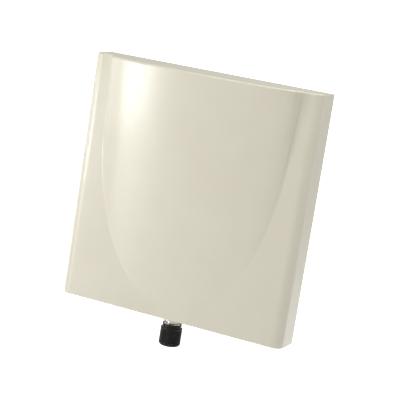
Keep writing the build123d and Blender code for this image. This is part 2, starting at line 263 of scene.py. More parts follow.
class Surface:
    """A Principled material whose detail comes from noise in the object's own millimetres."""

    def __init__(self, name, roughness, metallic=0.0, **sockets):
        self.material = bpy.data.materials.new(name)
        self.material.use_nodes = True
        self.nodes = self.material.node_tree.nodes
        self.links = self.material.node_tree.links
        self.shader = self.nodes["Principled BSDF"]
        self.shader.inputs["Roughness"].default_value = roughness
        self.shader.inputs["Metallic"].default_value = metallic
        for socket, value in sockets.items():
            self.shader.inputs[socket.replace("_", " ")].default_value = value
        self.place = self.nodes.new("ShaderNodeTexCoord").outputs["Object"]
        self.normal = None

    def stretched(self, stretch, turn=(0, 0, 0)):
        mapping = self.nodes.new("ShaderNodeMapping")
        mapping.inputs["Scale"].default_value = [1 / (MM * share) for share in stretch]
        mapping.inputs["Rotation"].default_value = turn
        self.links.new(self.place, mapping.inputs["Vector"])
        return mapping.outputs["Vector"]

    def noise(self, per_mm, detail=2, stretch=(1, 1, 1), turn=(0, 0, 0)):
        """Noise with this many cells per millimetre."""
        noise = self.nodes.new("ShaderNodeTexNoise")
        noise.inputs["Scale"].default_value = per_mm
        noise.inputs["Detail"].default_value = detail
        self.links.new(self.stretched(stretch, turn), noise.inputs["Vector"])
        return noise.outputs["Fac"]

    def threads(self, pitch, direction):
        """Evenly spaced bands across one axis, such as the yarns of a woven laminate."""
        wave = self.nodes.new("ShaderNodeTexWave")
        wave.bands_direction = direction
        wave.inputs["Scale"].default_value = math.pi / 10 / pitch
        wave.inputs["Distortion"].default_value = 0.6
        self.links.new(self.stretched((1, 1, 1)), wave.inputs["Vector"])
        return wave.outputs["Fac"]

    def ranged(self, value, low, high, start=0.35, end=0.65):
        """Value brought from start..end to low..high."""
        return ranged(self.material.node_tree, value, (start, end), (low, high))

    def product(self, first, second):
        return calculated(self.material.node_tree, "MULTIPLY", first, second)

    def colour(self, first, second, value):
        """Base colour that runs from the first to the second."""
        mix = self.nodes.new("ShaderNodeMix")
        mix.data_type = "RGBA"
        mix.inputs["A"].default_value = (*first, 1)
        mix.inputs["B"].default_value = (*second, 1)
        self.links.new(self.ranged(value, 0, 1), mix.inputs["Factor"])
        self.links.new(mix.outputs["Result"], self.shader.inputs["Base Color"])

    def tint(self, shade, value):
        """Multiplies the base colour by a shade where the value is high."""
        mix = self.nodes.new("ShaderNodeMix")
        mix.data_type = "RGBA"
        mix.blend_type = "MULTIPLY"
        mix.inputs["B"].default_value = (*shade, 1)
        before = self.shader.inputs["Base Color"].links[0].from_socket
        self.links.new(before, mix.inputs["A"])
        self.links.new(value, mix.inputs["Factor"])
        self.links.new(mix.outputs["Result"], self.shader.inputs["Base Color"])

    def roughness(self, low, high, value):
        self.links.new(self.ranged(value, low, high), self.shader.inputs["Roughness"])

    def bump(self, value, height_mm, strength=1.0):
        bump = self.nodes.new("ShaderNodeBump")
        bump.inputs["Distance"].default_value = height_mm * MM
        bump.inputs["Strength"].default_value = strength
        self.links.new(value, bump.inputs["Height"])
        if self.normal:
            self.links.new(self.normal, bump.inputs["Normal"])
        self.normal = bump.outputs["Normal"]
        self.links.new(self.normal, self.shader.inputs["Normal"])


def radome_plastic():
    """Glossy cream ASA: slightly uneven in colour and gloss, with a faint orange peel."""
    plastic = Surface("radome_plastic", 0.25, Specular_IOR_Level=0.7)
    plastic.colour((0.70, 0.663, 0.543), (0.688, 0.650, 0.529), plastic.noise(0.03, 3))
    plastic.tint((0.95, 0.93, 0.90), plastic.ranged(plastic.noise(0.9, 2), 0, 0.3, 0.62, 0.75))
    plastic.roughness(0.238, 0.262, plastic.noise(0.12, 3))
    plastic.bump(plastic.noise(0.5, 2), 0.0015)
    return plastic.material


def black_plastic():
    """Moulded black cap with a gloss that varies a little."""
    plastic = Surface("black_plastic", 0.10, Specular_IOR_Level=0.3)
    plastic.colour((0.0025, 0.0025, 0.0022), (0.006, 0.006, 0.0052), plastic.noise(0.8, 4))
    plastic.roughness(0.08, 0.14, plastic.noise(1.5, 4))
    plastic.bump(plastic.noise(2.0, 3), 0.003)
    return plastic.material


def liner_rubber():
    rubber = Surface("liner_rubber", 0.7)
    rubber.colour((0.03, 0.03, 0.032), (0.05, 0.05, 0.05), rubber.noise(1.2, 4))
    rubber.bump(rubber.noise(5.0, 3), 0.01)
    return rubber.material


def silicone():
    """Grey silicone with talc left in its skin."""
    rubber = Surface("silicone_grey", 0.55)
    rubber.colour((0.10, 0.10, 0.105), (0.16, 0.16, 0.16), rubber.noise(0.9, 5))
    rubber.roughness(0.45, 0.65, rubber.noise(2.0, 3))
    rubber.bump(rubber.noise(4.0, 3), 0.01)
    return rubber.material


def rolled_aluminium():
    """Mill-finish sheet: rolling lines along X, crossed by a few fine scratches."""
    metal = Surface("rolled_aluminium", 0.34, metallic=1.0)
    metal.colour((0.80, 0.81, 0.82), (0.70, 0.71, 0.72), metal.noise(0.05, 5, stretch=(6, 1, 1)))
    lines = metal.noise(0.9, 4, stretch=(30, 1, 0.6))
    metal.tint((0.82, 0.82, 0.82), metal.ranged(lines, 0, 0.5, 0.5, 0.8))
    metal.roughness(0.26, 0.42, metal.noise(1.2, 4, stretch=(40, 1, 0.5)))
    metal.bump(metal.noise(1.5, 3, stretch=(40, 1, 0.4)), 0.003)
    scratches = metal.noise(0.5, 1, stretch=(0.12, 1, 9), turn=(0, math.radians(24), 0))
    metal.bump(metal.ranged(scratches, 0, 1, 0.68, 0.72), 0.004)
    return metal.material


def bright_metal(name, light, dark, low, high, grain=3.0):
    """Machined or plated metal with fine tool marks and uneven shine."""
    metal = Surface(name, (low + high) / 2, metallic=1.0)
    metal.colour(light, dark, metal.noise(0.35, 5))
    metal.roughness(low, high, metal.noise(grain / 2, 4))
    metal.bump(metal.noise(grain, 3, stretch=(2, 2, 0.5)), 0.003)
    return metal.material


def tarnished_metal(name, light, dark, low, high):
    """Bare sheet or wire with brushed lines and oxide clouds."""
    metal = Surface(name, (low + high) / 2, metallic=1.0)
    metal.colour(light, dark, metal.noise(0.06, 6))
    metal.tint((0.75, 0.66, 0.6), metal.ranged(metal.noise(0.5, 5), 0, 0.5, 0.55, 0.8))
    metal.roughness(low, high, metal.noise(1.0, 4, stretch=(12, 1, 0.6)))
    metal.bump(metal.noise(1.6, 3, stretch=(30, 1, 0.5)), 0.003)
    return metal.material


def glass_laminate():
    """Glass-epoxy board: woven yarns under a green solder mask."""
    board = Surface("glass_laminate", 0.32)
    weave = board.product(board.threads(0.45, "X"), board.threads(0.45, "Z"))
    board.colour((0.035, 0.16, 0.055), (0.06, 0.24, 0.09), weave)
    board.tint((0.85, 0.85, 0.8), board.ranged(board.noise(0.05, 4), 0, 0.5))
    board.roughness(0.26, 0.42, board.noise(0.8, 4))
    board.bump(weave, 0.012)
    return board.material


def pale_plastic(name, light, dark, roughness, subsurface):
    """Translucent moulded or turned plastic, such as nylon and PTFE."""
    plastic = Surface(name, roughness, Subsurface_Weight=subsurface, Subsurface_Scale=0.002)
    plastic.colour(light, dark, plastic.noise(0.25, 4))
    plastic.roughness(roughness - 0.06, roughness + 0.06, plastic.noise(1.5, 3))
    plastic.bump(plastic.noise(3.0, 3), 0.006)
    return plastic.material


def cable_jacket():
    jacket = Surface("cable_jacket", 0.42)
    jacket.colour((0.018, 0.018, 0.020), (0.032, 0.032, 0.034), jacket.noise(0.4, 4))
    jacket.roughness(0.34, 0.5, jacket.noise(1.5, 3, stretch=(1, 1, 8)))
    jacket.bump(jacket.noise(2.5, 3, stretch=(1, 1, 6)), 0.01)
    return jacket.material


MATERIALS = {
    "asa": radome_plastic(),
    "aluminium": rolled_aluminium(),
    "silicone": silicone(),
    "stainless": bright_metal("stainless", (0.66, 0.65, 0.63), (0.56, 0.55, 0.53), 0.20, 0.34),
    "laminate": glass_laminate(),
    "copper": tarnished_metal("copper", (0.93, 0.58, 0.42), (0.72, 0.40, 0.28), 0.22, 0.40),
    "brass": tarnished_metal("brass", (0.86, 0.70, 0.38), (0.70, 0.54, 0.27), 0.24, 0.42),
    "nylon": pale_plastic("nylon", (0.80, 0.79, 0.72), (0.74, 0.72, 0.64), 0.38, 0.25),
    "cable_jacket": cable_jacket(),
    "nickel": bright_metal("nickel", (0.76, 0.72, 0.66), (0.66, 0.62, 0.56), 0.12, 0.24),
    "ptfe": pale_plastic("ptfe", (0.88, 0.88, 0.86), (0.82, 0.82, 0.80), 0.34, 0.30),
    "gold": bright_metal("gold", (1.0, 0.78, 0.36), (0.92, 0.68, 0.28), 0.14, 0.26),
    "cap_plastic": black_plastic(),
    "liner_rubber": liner_rubber(),
}


# ---------------------------------------------------------------- mesh helpers, in millimetres

def add_piece(name, bm, node, smooth_angle=30):
    """Welds the mesh, gives it the CAD node's finish and lets it stand for that node."""
    bmesh.ops.remove_doubles(bm, verts=bm.verts, dist=1e-4)
    bmesh.ops.dissolve_degenerate(bm, dist=1e-5, edges=bm.edges)
    bmesh.ops.recalc_face_normals(bm, faces=bm.faces)
    bmesh.ops.scale(bm, vec=(MM, MM, MM), verts=bm.verts)
    mesh = bpy.data.meshes.new(name)
    bm.to_mesh(mesh)
    bm.free()
    mesh.shade_smooth()
    mesh.set_sharp_from_angle(angle=math.radians(smooth_angle))
    piece = bpy.data.objects.new(name, mesh)
    scene.collection.objects.link(piece)
    finish = slot_of(node)
    mesh.materials.append(MATERIALS[finish])
    weighted = piece.modifiers.new("weighted normals", "WEIGHTED_NORMAL")
    weighted.keep_sharp = True
    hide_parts(node)
    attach(piece, frame["nodes"][node]["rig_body"])


def slot_of(node):
    """The record's material slot of a CAD node."""
    subparts = frame["record"]["subparts"]
    return next(part["material_slot"] for part in subparts if part["node"] == node)


def solids(node):
    """Lowest and highest corner, in millimetres, of each separate solid of a CAD node."""
    bm = bmesh.new()
    bm.from_mesh(frame["nodes"][node].data)
    bmesh.ops.remove_doubles(bm, verts=bm.verts, dist=1e-6)
    unseen = set(bm.verts)
    boxes = []
    while unseen:
        reached = [unseen.pop()]
        low, high = reached[0].co.copy(), reached[0].co.copy()
        while reached:
            vertex = reached.pop()
            low = Vector(map(min, low, vertex.co))
            high = Vector(map(max, high, vertex.co))
            for link in vertex.link_edges:
                other = link.other_vert(vertex)
                if other in unseen:
                    unseen.discard(other)
                    reached.append(other)
        boxes.append((low / MM, high / MM))
    bm.free()
    return sorted(boxes, key=lambda box: tuple(round(v, 2) for v in box[0]))


def soften(outline, steps=4):
    """Rounds an outline's corners, all but its two ends. Each point is (radius, height, corner)."""
    points = []
    for index, (r, h, corner) in enumerate(outline):
        if corner == 0 or index in (0, len(outline) - 1):
            points.append((r, h))
            continue
        here = Vector((r, h))
        before = Vector(outline[index - 1][:2]) - here
        after = Vector(outline[index + 1][:2]) - here
        half = before.angle(after) / 2
        reach = min(corner / math.tan(half), 0.48 * min(before.length, after.length))
        first, last = here + before.normalized() * reach, here + after.normalized() * reach
        for step in range(steps + 1):
            share = step / steps
            curve = first * (1 - share) ** 2 + here * 2 * share * (1 - share) + last * share ** 2
            points.append((curve.x, curve.y))
    return points


def ring(bm, radius, height, segments):
    return [
        bm.verts.new((radius * math.cos(a), radius * math.sin(a), height))
        for a in (2 * math.pi * i / segments for i in range(segments))
    ]


def turned(outline, segments, bands=None):
    """Mesh turned about Z from a closed outline of (radius, height). Between two neighbouring
    points that are named in bands, the band's own function makes the surface."""
    bm = bmesh.new()
    rings = [ring(bm, r, h, segments) for r, h in outline]
    for index in range(len(outline)):
        following = (index + 1) % len(outline)
        if outline[index][0] == outline[following][0] == 0:
            continue
        band = (bands or {}).get((outline[index], outline[following]))
        if band:
            band(bm, segments)
            continue
        for i in range(segments):
            j = (i + 1) % segments
            bm.faces.new((rings[index][i], rings[index][j], rings[following][j], rings[following][i]))
    return bm


def thread(crest, root, pitch, bottom, top):
    """Right-handed thread between two heights, on a grid that follows its helix. The root is
    nearer the axis on a screw and farther from it in a nut."""
    shape = (crest, crest, (crest + root) / 2, root, root, (crest + root) / 2)
    lead = abs(crest - root) * 1.2

    def band(bm, segments):
        rows = math.ceil((top - bottom) / pitch * len(shape)) + 2 * len(shape)
        grid = []
        for i in range(segments + 1):
            angle = 2 * math.pi * i / segments
            column = []
            for k in range(rows):
                height = bottom + pitch * (k / len(shape) + i / segments - 1)
                height = min(max(height, bottom), top)
                runout = min(height - bottom, top - height) / lead
                depth = (crest - shape[k % len(shape)]) * min(1, runout)
                radius = crest - depth
                column.append(bm.verts.new((radius * math.cos(angle), radius * math.sin(angle), height)))
            grid.append(column)
        for i in range(segments):
            for k in range(rows - 1):
                corners = (grid[i][k], grid[i + 1][k], grid[i + 1][k + 1], grid[i][k + 1])
                levels = {round(v.co.z, 6) for v in corners}
                if len(levels) > 1:
                    bm.faces.new(corners)
        loose = [v for column in grid for v in column if not v.link_faces]
        bmesh.ops.delete(bm, geom=loose, context="VERTS")
    return band


def knurl(crest, depth, count, height, bottom, top, fade=0.6):
    """Diamond knurl between two heights: two crossing families of V grooves."""
    steepness = 2.7
    rows_per_diamond = 8

    def groove(phase):
        return min(1.0, abs(phase - round(phase)) * steepness)

    def band(bm, segments):
        rows = round((top - bottom) / height * rows_per_diamond)
        grid = []
        for k in range(rows + 1):
            level = bottom + (top - bottom) * k / rows
            edge = min(1.0, (level - bottom) / fade, (top - level) / fade)
            line = []
            for i in range(segments):
                angle = 2 * math.pi * i / segments
                turn, rise = count * i / segments, (level - bottom) / height
                raised = min(groove(turn + rise), groove(turn - rise))
                radius = crest - depth * (1 - raised) * max(0.0, edge)
                line.append(bm.verts.new((radius * math.cos(angle), radius * math.sin(angle), level)))
            grid.append(line)
        for k in range(rows):
            for i in range(segments):
                j = (i + 1) % segments
                bm.faces.new((grid[k][i], grid[k][j], grid[k + 1][j], grid[k + 1][i]))
    return band


def moved(bm, matrix):
    bmesh.ops.transform(bm, matrix=matrix, verts=bm.verts)
    return bm


def joined(meshes):
    """All the meshes in one."""
    whole = bmesh.new()
    for bm in meshes:
        part = bpy.data.meshes.new("part")
        bm.to_mesh(part)
        bm.free()
        whole.from_mesh(part)
        bpy.data.meshes.remove(part)
    return whole


def towards_back(x, y, z):
    """Turns a mesh made along Z to point backwards, along +Y, and moves its base to a place."""
    return Matrix.Translation((x, y, z)) @ Matrix.Rotation(math.radians(-90), 4, "X")


def cut(bm, tool):
    """bm less the closed mesh tool."""
    return combine(bm, tool, "DIFFERENCE")


def combine(bm, tool, operation):
    objects = []
    for name, part in (("whole", bm), ("tool", tool)):
        bmesh.ops.remove_doubles(part, verts=part.verts, dist=1e-4)
        bmesh.ops.recalc_face_normals(part, faces=part.faces)
        mesh = bpy.data.meshes.new(name)
        part.to_mesh(mesh)
        part.free()
        made = bpy.data.objects.new(name, mesh)
        scene.collection.objects.link(made)
        objects.append(made)
    whole, tool_object = objects
    boolean = whole.modifiers.new("combine", "BOOLEAN")
    boolean.object = tool_object
    boolean.operation = operation
    boolean.solver = "EXACT"
    graph = bpy.context.evaluated_depsgraph_get()
    result = bmesh.new()
    result.from_object(whole, graph)
    for made in objects:
        mesh = made.data
        bpy.data.objects.remove(made)
        bpy.data.meshes.remove(mesh)
    return result


# ---------------------------------------------------------------- screw cap and jack

cap_low, cap_high = (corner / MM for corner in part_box("cap"))
JACK_X = (cap_low.x + cap_high.x) / 2
JACK_Y = (cap_low.y + cap_high.y) / 2
LOWER_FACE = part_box("radome")[0].z / MM
JACK_PLACE = Matrix.Translation((JACK_X, JACK_Y, LOWER_FACE))


def add_cap():
    """Cap with a plain lip, a knurled body, a rounded closed end and a thread inside."""
    radius = (cap_high.x - cap_low.x) / 2
    lip, bore = radius - CAP_LIP_STEP, CAP_BORE_RADIUS
    top, bottom = cap_high.z - LOWER_FACE, cap_low.z - LOWER_FACE
    first_turn, last_turn = (bore, CAP_THREAD[0]), (bore, CAP_THREAD[1])
    outline = soften([
        (0, CAP_FLOOR, 0), (bore, CAP_FLOOR, 0.3), (*first_turn, 0), (*last_turn, 0),
        (bore, top, 0.25), (lip, top, 0.25), (lip, CAP_LIP_END, 0.25),
        (radius, CAP_SHOULDER_END, 0.3), (radius, CAP_SHOULDER_END - 0.4, 0),
    ])
    upper, lower = outline[-1], (radius, bottom + CAP_END_ROUND)
    outline.append(lower)
    end_steps = 8
    for step in range(1, end_steps + 1):
        angle = math.radians(90) * step / end_steps
        outline.append((
            radius - CAP_END_ROUND + CAP_END_ROUND * math.cos(angle),
            lower[1] - CAP_END_ROUND * math.sin(angle),
        ))
    outline.append((0, bottom))
    outside = knurl(radius, KNURL_DEPTH, KNURL_COUNT, KNURL_HEIGHT, lower[1], upper[1])
    inside = thread(bore, bore + CAP_THREAD_DEPTH, JACK_THREAD_PITCH, *CAP_THREAD)
    bm = turned(outline, 240, {(upper, lower): outside, (first_turn, last_turn): inside})
    add_piece("cap_knurled", moved(bm, JACK_PLACE), "cap", 22)


def add_jack():
    """Jack body with a sealing flange, a neck and a helical 5/8-24 thread."""
    thread_bottom = (JACK_THREAD_CREST, JACK_THREAD[0])
    thread_top = (JACK_THREAD_CREST, JACK_THREAD[1])
    outline = soften([
        (1.8, 12.0, 0), (1.8, 19.0, 0.15), (2.6, 19.0, 0.15), (2.6, 14.0, 0.1), (6.35, 14.0, 0.7),
        (6.35, 0, 0), (7.2, 0, 0.1), (7.2, -1.1, 0), (8.8, -1.1, 0), (8.8, 0, 0.1),
        (9.5, 0, 0.15), (9.5, -2.2, 0.3), (6.0, -2.2, 0.25), (6.0, -5.3, 0.25),
        (JACK_THREAD_ROOT, -5.3, 0),
    ], 3)
    outline += [thread_top, thread_bottom]
    outline += soften([
        (JACK_THREAD_ROOT, JACK_END, 0), (JACK_SOCKET_RADIUS, JACK_END, 0.3),
        (JACK_SOCKET_RADIUS, JACK_SOCKET_FLOOR, 0.1), (4.0, JACK_SOCKET_FLOOR, 0), (4.0, 12.0, 0),
    ], 3)
    surface = thread(JACK_THREAD_CREST, JACK_THREAD_ROOT, JACK_THREAD_PITCH, *JACK_THREAD)
    bm = turned(outline, 96, {(thread_top, thread_bottom): surface})
    add_piece("jack_threaded_body", moved(bm, JACK_PLACE), "jack_body", 28)


def add_contact():
    """Gold socket contact with four spring fingers and a rounded mouth."""
    outline = soften([
        (0, 12.0, 0), (0.8, 12.0, 0.1), (0.8, JACK_SOCKET_FLOOR, 0),
        (CONTACT_RADIUS, JACK_SOCKET_FLOOR, 0.1), (CONTACT_RADIUS, CONTACT_END, 0.25),
        (CONTACT_BORE_RADIUS, CONTACT_END, 0.2), (CONTACT_BORE_RADIUS, -11.0, 0), (0, -11.0, 0),
    ])
    bm = turned(outline, 48)
    slot_size = Matrix.Diagonal((5, 0.3, 4, 1))
    slot_place = Matrix.Translation((0, 0, CONTACT_END + 1.5))
    for angle in (0, 90):
        across = Matrix.Rotation(math.radians(angle), 4, "Z")
        slot_cut = bmesh.new()
        bmesh.ops.create_cube(slot_cut, size=1, matrix=across @ slot_place @ slot_size)
        bm = cut(bm, slot_cut)
    add_piece("jack_contact_fingers", moved(bm, JACK_PLACE), "jack_contact")


# ---------------------------------------------------------------- back plate and its hardware

def behind_plane(bm, low, high, y):
    """Moves a mesh made along Z to the axis of a solid's box, pointing backwards from y."""
    return moved(bm, towards_back((low.x + high.x) / 2, y, (low.z + high.z) / 2))


def add_back_plate():
    """Sheet with rounded corners and broken edges, drilled for the cover screws and the studs."""
    low, high = (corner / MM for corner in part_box("back_plate"))
    width, height, thickness = high.x - low.x, high.z - low.z, high.y - low.y
    bm = bmesh.new()
    outline = []
    corner_steps = 6
    for x, z, start in ((1, 1, 0), (-1, 1, 90), (-1, -1, 180), (1, -1, 270)):
        for step in range(corner_steps + 1):
            angle = math.radians(start + step * 90 / corner_steps)
            outline.append(bm.verts.new((
                x * (width / 2 - PLATE_CORNER_RADIUS) + PLATE_CORNER_RADIUS * math.cos(angle),
                low.y,
                z * (height / 2 - PLATE_CORNER_RADIUS) + PLATE_CORNER_RADIUS * math.sin(angle),
            )))
    face = bm.faces.new(outline)
    made = bmesh.ops.extrude_face_region(bm, geom=[face])["geom"]
    rear = [item for item in made if isinstance(item, bmesh.types.BMVert)]
    bmesh.ops.translate(bm, vec=(0, thickness, 0), verts=rear)
    rims = [e for e in bm.edges if abs(e.verts[0].co.y - e.verts[1].co.y) < 1e-6]
    bmesh.ops.bevel(bm, geom=rims, offset=PLATE_EDGE, segments=3, profile=0.5, affect="EDGES")
    holes = []
    beyond = thickness + 1
    for a, b in solids("cover_screws"):
        drill = [(0, -1), (SCREW_HOLE_RADIUS, -1), (SCREW_HOLE_RADIUS, beyond), (0, beyond)]
        holes.append(behind_plane(turned(drill, 32), a, b, low.y))
    for a, b in solids("mounting_studs"):
        seat = [
            (0, -1), (STUD_HEAD_RADIUS, -1), (STUD_HEAD_RADIUS, STUD_HEAD_HEIGHT),
            (STUD_SHOULDER_RADIUS, STUD_HEAD_HEIGHT), (STUD_SHOULDER_RADIUS, beyond), (0, beyond),
        ]
        holes.append(behind_plane(turned(seat, 48), a, b, low.y))
    bm = cut(bm, joined(holes))
    add_piece("back_plate_sheet", bm, "back_plate")


def add_studs():
    """M6 clinch studs: flush head, smooth shoulder, rolled thread with a lead-in."""
    rods = []
    for low, high in solids("mounting_studs"):
        length = high.y - low.y
        first, last = (STUD_RADIUS, 3.1), (STUD_RADIUS, length - 0.7)
        outline = soften([
            (0, 0, 0), (STUD_HEAD_RADIUS, 0, 0.1), (STUD_HEAD_RADIUS, STUD_HEAD_HEIGHT, 0.1),
            (STUD_SHOULDER_RADIUS, STUD_HEAD_HEIGHT, 0),
        ])
        outline += [
            (STUD_SHOULDER_RADIUS, 2.5), (STUD_RADIUS, 2.55), first, last,
            (2.45, length - 0.08), (2.3, length), (0, length),
        ]
        surface = thread(STUD_RADIUS, STUD_THREAD_ROOT, STUD_THREAD_PITCH, first[1], last[1])
        rod = turned(outline, 64, {(first, last): surface})
        rods.append(behind_plane(rod, low, high, low.y))
    add_piece("mounting_studs_threaded", joined(rods), "mounting_studs", 32)


def cross_recess(width, depth, top):
    """Tapered four-winged recess, as two closed cutters that cross."""
    cutters = []
    for angle in (0, 90):
        wing = bmesh.new()
        bmesh.ops.create_cube(wing, size=1)
        for vertex in wing.verts:
            upper = vertex.co.z > 0
            vertex.co.x *= width * (1.12 if upper else 0.42)
            vertex.co.y *= width * (0.26 if upper else 0.14)
            vertex.co.z = top + 0.3 if upper else top - depth
        cutters.append(moved(wing, Matrix.Rotation(math.radians(angle), 4, "Z")))
    return cutters


def pan_screw(shank, length, head, head_height):
    """Pan-head screw along Z with its head's top at the highest point and a plain shank with a pointed end.
    """
    outline = soften([
        (0, 0, 0), (shank * 0.55, 0, 0.1), (shank, 1.0, 0.1), (shank, length, 0.1),
        (head, length, 0.12), (head, length + head_height * 0.45, 0.3),
        (head * 0.66, length + head_height * 0.93, 0.8), (0, length + head_height, 0),
    ], 5)
    screw = turned(outline, 48)
    for cutter in cross_recess(head * 1.05, head_height * 0.62, length + head_height):
        screw = cut(screw, cutter)
    return screw


def add_screws(name, node, head, head_height):
    """A pan screw for each solid of the CAD node, its head towards the back."""
    places = solids(node)
    low, high = places[0]
    length = high.y - low.y - head_height
    shank = head / 1.95
    pattern = bpy.data.meshes.new("pattern")
    screw = pan_screw(shank, length, head, head_height)
    screw.to_mesh(pattern)
    screw.free()
    screws = []
    for low, high in places:
        one = bmesh.new()
        one.from_mesh(pattern)
        x, z = (low.x + high.x) / 2, (low.z + high.z) / 2
        turn = Matrix.Rotation(0.7 * x + 0.4 * z, 4, "Z")
        screws.append(moved(one, towards_back(x, low.y, z) @ turn))
    bpy.data.meshes.remove(pattern)
    add_piece(name, joined(screws), node)


def add_washers():
    """Sealing washers, squeezed into a soft bulge under the screw heads."""
    washers = []
    for low, high in solids("cover_screw_seals"):
        height, radius = high.y - low.y, (high.x - low.x) / 2
        outline = soften([
            (WASHER_BORE_RADIUS, 0, 0.1), (radius - 0.1, 0, 0.2), (radius, height * 0.5, 0.6),
            (radius - 0.12, height, 0.2), (WASHER_BORE_RADIUS, height, 0.1),
        ])
        washers.append(behind_plane(turned(outline, 48), low, high, low.y))
    add_piece("cover_screw_seal_rings", joined(washers), "cover_screw_seals", 40)


# ---------------------------------------------------------------- radome

radome_low, radome_high = (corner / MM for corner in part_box("radome"))
HALF_WIDTH = radome_high.x
TOP = radome_high.z
TOTAL = radome_high.z - radome_low.z


class Shell:
    """One skin of the radome: a tray's front and sides, with the arch of the hood on its front.
    Drops are measured down from the radome's top."""

    def __init__(self, inset, front_inset, corner, rear, edges):
        self.half = HALF_WIDTH - inset
        self.depth = DEPTH - front_inset
        self.corner = corner
        self.foot = HOOD_FOOT - front_inset
        self.shoulder = HOOD_SHOULDER - front_inset
        self.side = HOOD_SIDE + front_inset
        self.crown = HOOD_RISE - HOOD_SIDE - front_inset
        self.top_drop = inset
        self.bottom_drop = TOTAL - inset
        self.rear = rear
        self.front_edge, self.side_edge = edges

    def arch(self, x):
        """Height of the hood's section over the flat front at the top edge."""
        x = abs(x)
        if x < self.shoulder:
            return self.side + self.crown * math.sqrt(1 - (x / self.shoulder) ** 2)
        return self.side * (self.foot - x) / (self.foot - self.shoulder)

    def steepness(self, x):
        """How steeply the hood leaves the flat front at the crease in this column."""
        step = 0.02
        across = (self.arch(abs(x) + step) - self.arch(abs(x) - step)) / (2 * step)
        return math.hypot(across, HOOD_LEAN)

    def front(self, x, drop):
        """How far the surface stands in front of the rear plane."""
        over = self.arch(x) - HOOD_LEAN * drop
        angle = math.atan(self.steepness(x))
        blend = min(1.0, CREASE_RADIUS * math.tan(angle / 2) * math.tan(angle))
        if over >= blend:
            return self.depth + over
        if over <= -blend:
            return self.depth
        return self.depth + (over + blend) ** 2 / (4 * blend)

    def crease(self, x):
        """Drop at which the arch meets the flat front, kept clear of the edges."""
        meet = max(self.arch(x), 0) / HOOD_LEAN
        return min(max(meet, self.top_drop + CREASE_CLEARANCE), self.bottom_drop - CREASE_CLEARANCE)

    def columns(self, spacing, turn):
        """X of the columns across the front: evenly spaced, and closer where the section turns."""
        fine = 0.05
        limit = self.half - self.corner
        points = []
        for k in range(round(limit / fine) + 1):
            x = min(k * fine, limit)
            points.append((x, self.front(x, 0)))
        places = [0.0]
        reach = last_angle = 0.0
        for before, after in zip(points, points[1:]):
            run = math.dist(before, after)
            angle = math.atan2(after[1] - before[1], after[0] - before[0])
            reach += run / spacing + abs(angle - last_angle) / turn
            last_angle = angle
            if reach >= 1:
                places.append(after[0])
                reach = 0.0
        if limit - places[-1] < 0.3:
            places.pop()
        places.append(limit)
        return [-x for x in reversed(places[1:])] + places

    def plan(self, column, drop):
        """Plan point and outward direction of a column at a drop."""
        kind, value = column
        if kind == "front":
            step = 0.05
            slope = (self.front(value + step, drop) - self.front(value - step, drop)) / (2 * step)
            if self.half - self.corner - abs(value) < step:
                slope = 0
            return Vector((value, -self.front(value, drop))), Vector((-slope, -1)).normalized()
        side, angle, back = value
        if kind == "corner":
            outward = Vector((side * math.sin(angle), -math.cos(angle)))
            centre = Vector((side * (self.half - self.corner), -(self.depth - self.corner)))
            return centre + outward * self.corner, outward
        return Vector((side * self.half, back)), Vector((side, 0))

    def all_columns(self, spacing, turn):
        """Columns from the left wall's rear, round the front, to the right wall's rear. Each is
        ("front", x), ("corner", (side, angle, 0)) or ("wall", (side, 0, y))."""
        corner_steps, wall_steps = 12, 6
        sweep = [math.radians(90) * k / corner_steps for k in range(1, corner_steps + 1)]
        wall = self.depth - self.corner
        backs = [-wall + (wall + self.rear) * k / wall_steps for k in range(1, wall_steps + 1)]
        right = [("corner", (1, a, 0)) for a in sweep] + [("wall", (1, 0, y)) for y in backs]
        left = [(kind, (-1, angle, y)) for kind, (_, angle, y) in reversed(right)]
        return left + [("front", x) for x in self.columns(spacing, turn)] + right

    def edge_radius(self, column):
        """Radius of the top and bottom edges, which shrinks round the corner."""
        if self.front_edge == 0:
            return 0
        if column[0] == "front":
            return self.front_edge
        if column[0] == "wall":
            return self.side_edge
        share = column[1][1] / math.radians(90)
        return self.front_edge + (self.side_edge - self.front_edge) * share

    def drops(self, column, upper, band, lower):
        """Drops of a column's rows: rows gather at the crease, so that it runs along them."""
        radius = self.edge_radius(column)
        start, end = self.top_drop + radius, self.bottom_drop - radius
        x = column[1] if column[0] == "front" else self.half
        meet = self.crease(x)
        step = 0.05
        slant = abs(self.crease(abs(x) + step) - self.crease(abs(x) - step)) / (2 * step)
        half_band = min(CREASE_BAND * math.hypot(1, slant), 0.45 * (meet - start), 0.45 * (end - meet))
        rows = [start + (meet - half_band - start) * k / upper for k in range(upper)]
        rows += [meet - half_band + 2 * half_band * k / band for k in range(band)]
        rows += [meet + half_band + (end - meet - half_band) * k / lower for k in range(lower + 1)]
        return rows

    def point(self, column, drop, inset=0.0):
        """Point of a column at a drop, moved inwards by the inset."""
        place, outward = self.plan(column, drop)
        place = place - outward * inset
        return (place.x, place.y, TOP - drop)

